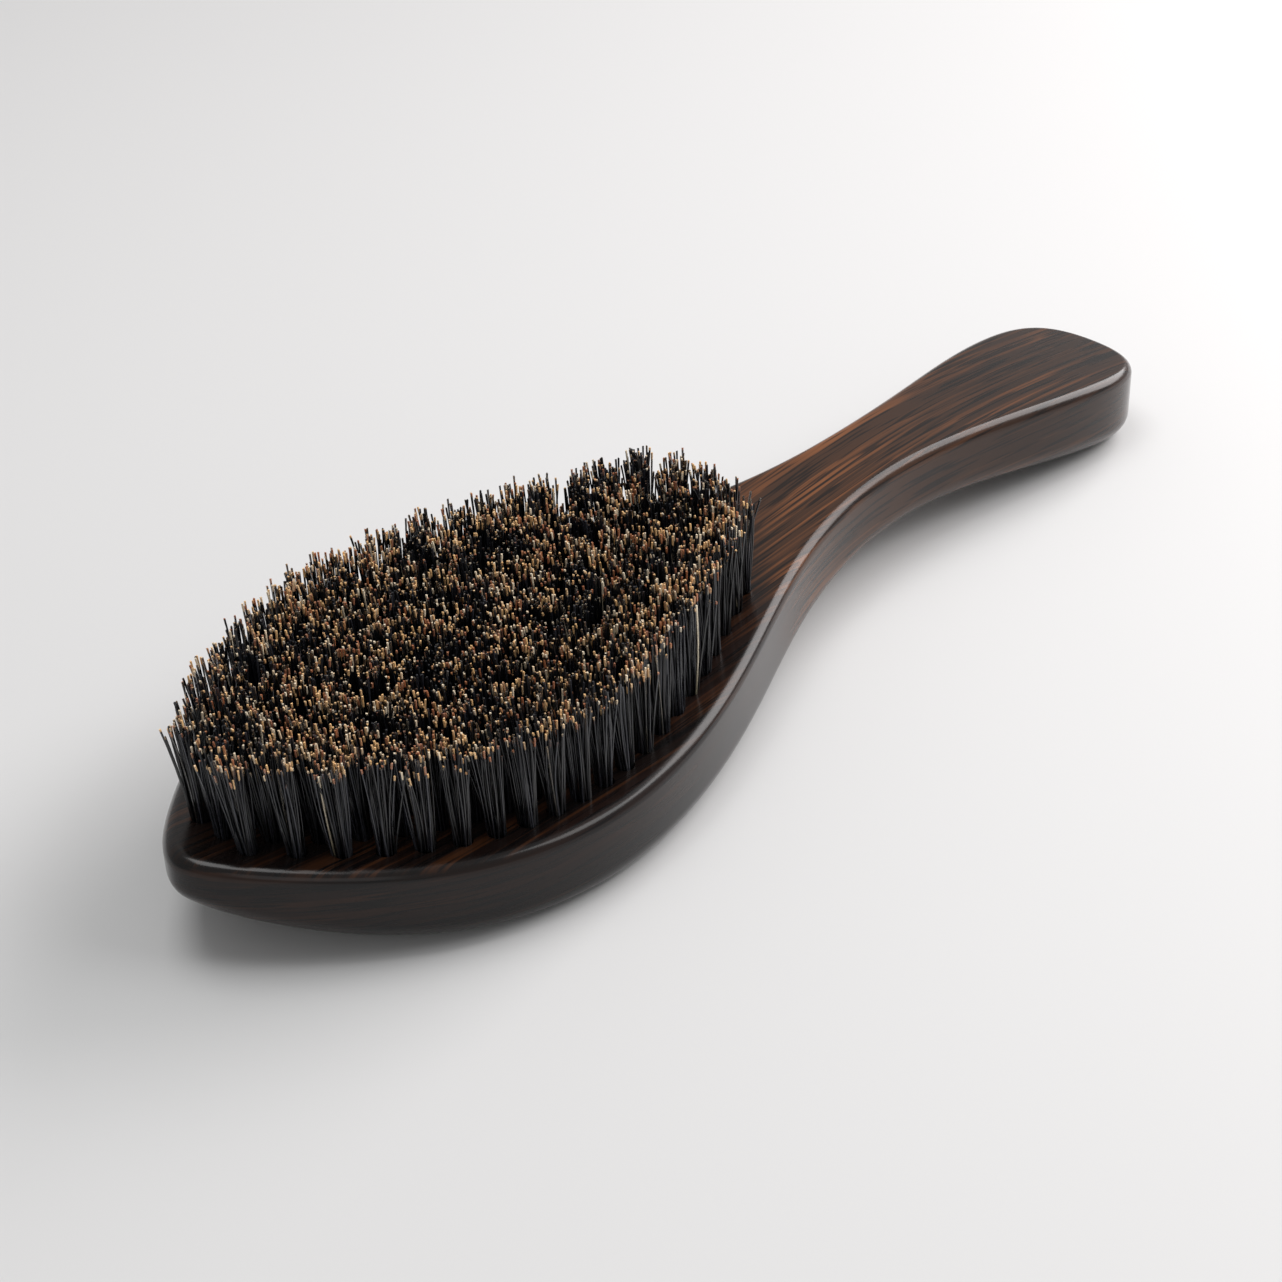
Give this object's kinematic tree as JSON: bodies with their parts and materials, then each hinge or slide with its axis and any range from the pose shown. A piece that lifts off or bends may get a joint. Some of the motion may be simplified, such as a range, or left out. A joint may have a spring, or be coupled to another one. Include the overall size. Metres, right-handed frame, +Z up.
{
  "type": "beard brush",
  "caption": "Wooden beard brush with an egg-shaped head set with black bristle tufts, a slim waist and a rounded grip.",
  "frame": {"origin": "centre of the bounding box's underside, on the surface the brush lies on", "axes": "+X from the nose of the head to the end of the grip, +Z up out of the bristle face, Y across the head"},
  "size_m": [0.22, 0.0698, 0.0354],
  "materials": {
    "wood": "dark ebony-like grain with fine red-brown streaks under a gloss lacquer",
    "bristle": "glossy black boar bristle with pale amber and rust-brown tips",
    "anchor_wire": "plain drawn flat wire"
  },
  "bodies": {
    "root": {"brush_body": "wood", "tuft_row_01": "bristle", "tuft_row_02": "bristle", "tuft_row_03": "bristle", "tuft_row_04": "bristle", "tuft_row_05": "bristle", "tuft_row_06": "bristle", "tuft_row_07": "bristle", "tuft_row_08": "bristle", "tuft_row_09": "bristle", "tuft_row_10": "bristle", "tuft_row_11": "bristle", "tuft_row_12": "bristle", "tuft_row_13": "bristle", "tuft_row_14": "bristle", "tuft_row_15": "bristle", "tuft_row_16": "bristle", "tuft_row_17": "bristle", "tuft_row_18": "bristle", "tuft_row_19": "bristle", "tuft_row_20": "bristle", "tuft_row_21": "bristle", "anchor_row_01": "anchor_wire", "anchor_row_02": "anchor_wire", "anchor_row_03": "anchor_wire", "anchor_row_04": "anchor_wire", "anchor_row_05": "anchor_wire", "anchor_row_06": "anchor_wire", "anchor_row_07": "anchor_wire", "anchor_row_08": "anchor_wire", "anchor_row_09": "anchor_wire", "anchor_row_10": "anchor_wire", "anchor_row_11": "anchor_wire", "anchor_row_12": "anchor_wire", "anchor_row_13": "anchor_wire", "anchor_row_14": "anchor_wire", "anchor_row_15": "anchor_wire", "anchor_row_16": "anchor_wire", "anchor_row_17": "anchor_wire", "anchor_row_18": "anchor_wire", "anchor_row_19": "anchor_wire", "anchor_row_20": "anchor_wire", "anchor_row_21": "anchor_wire"}
  },
  "joints": []
}
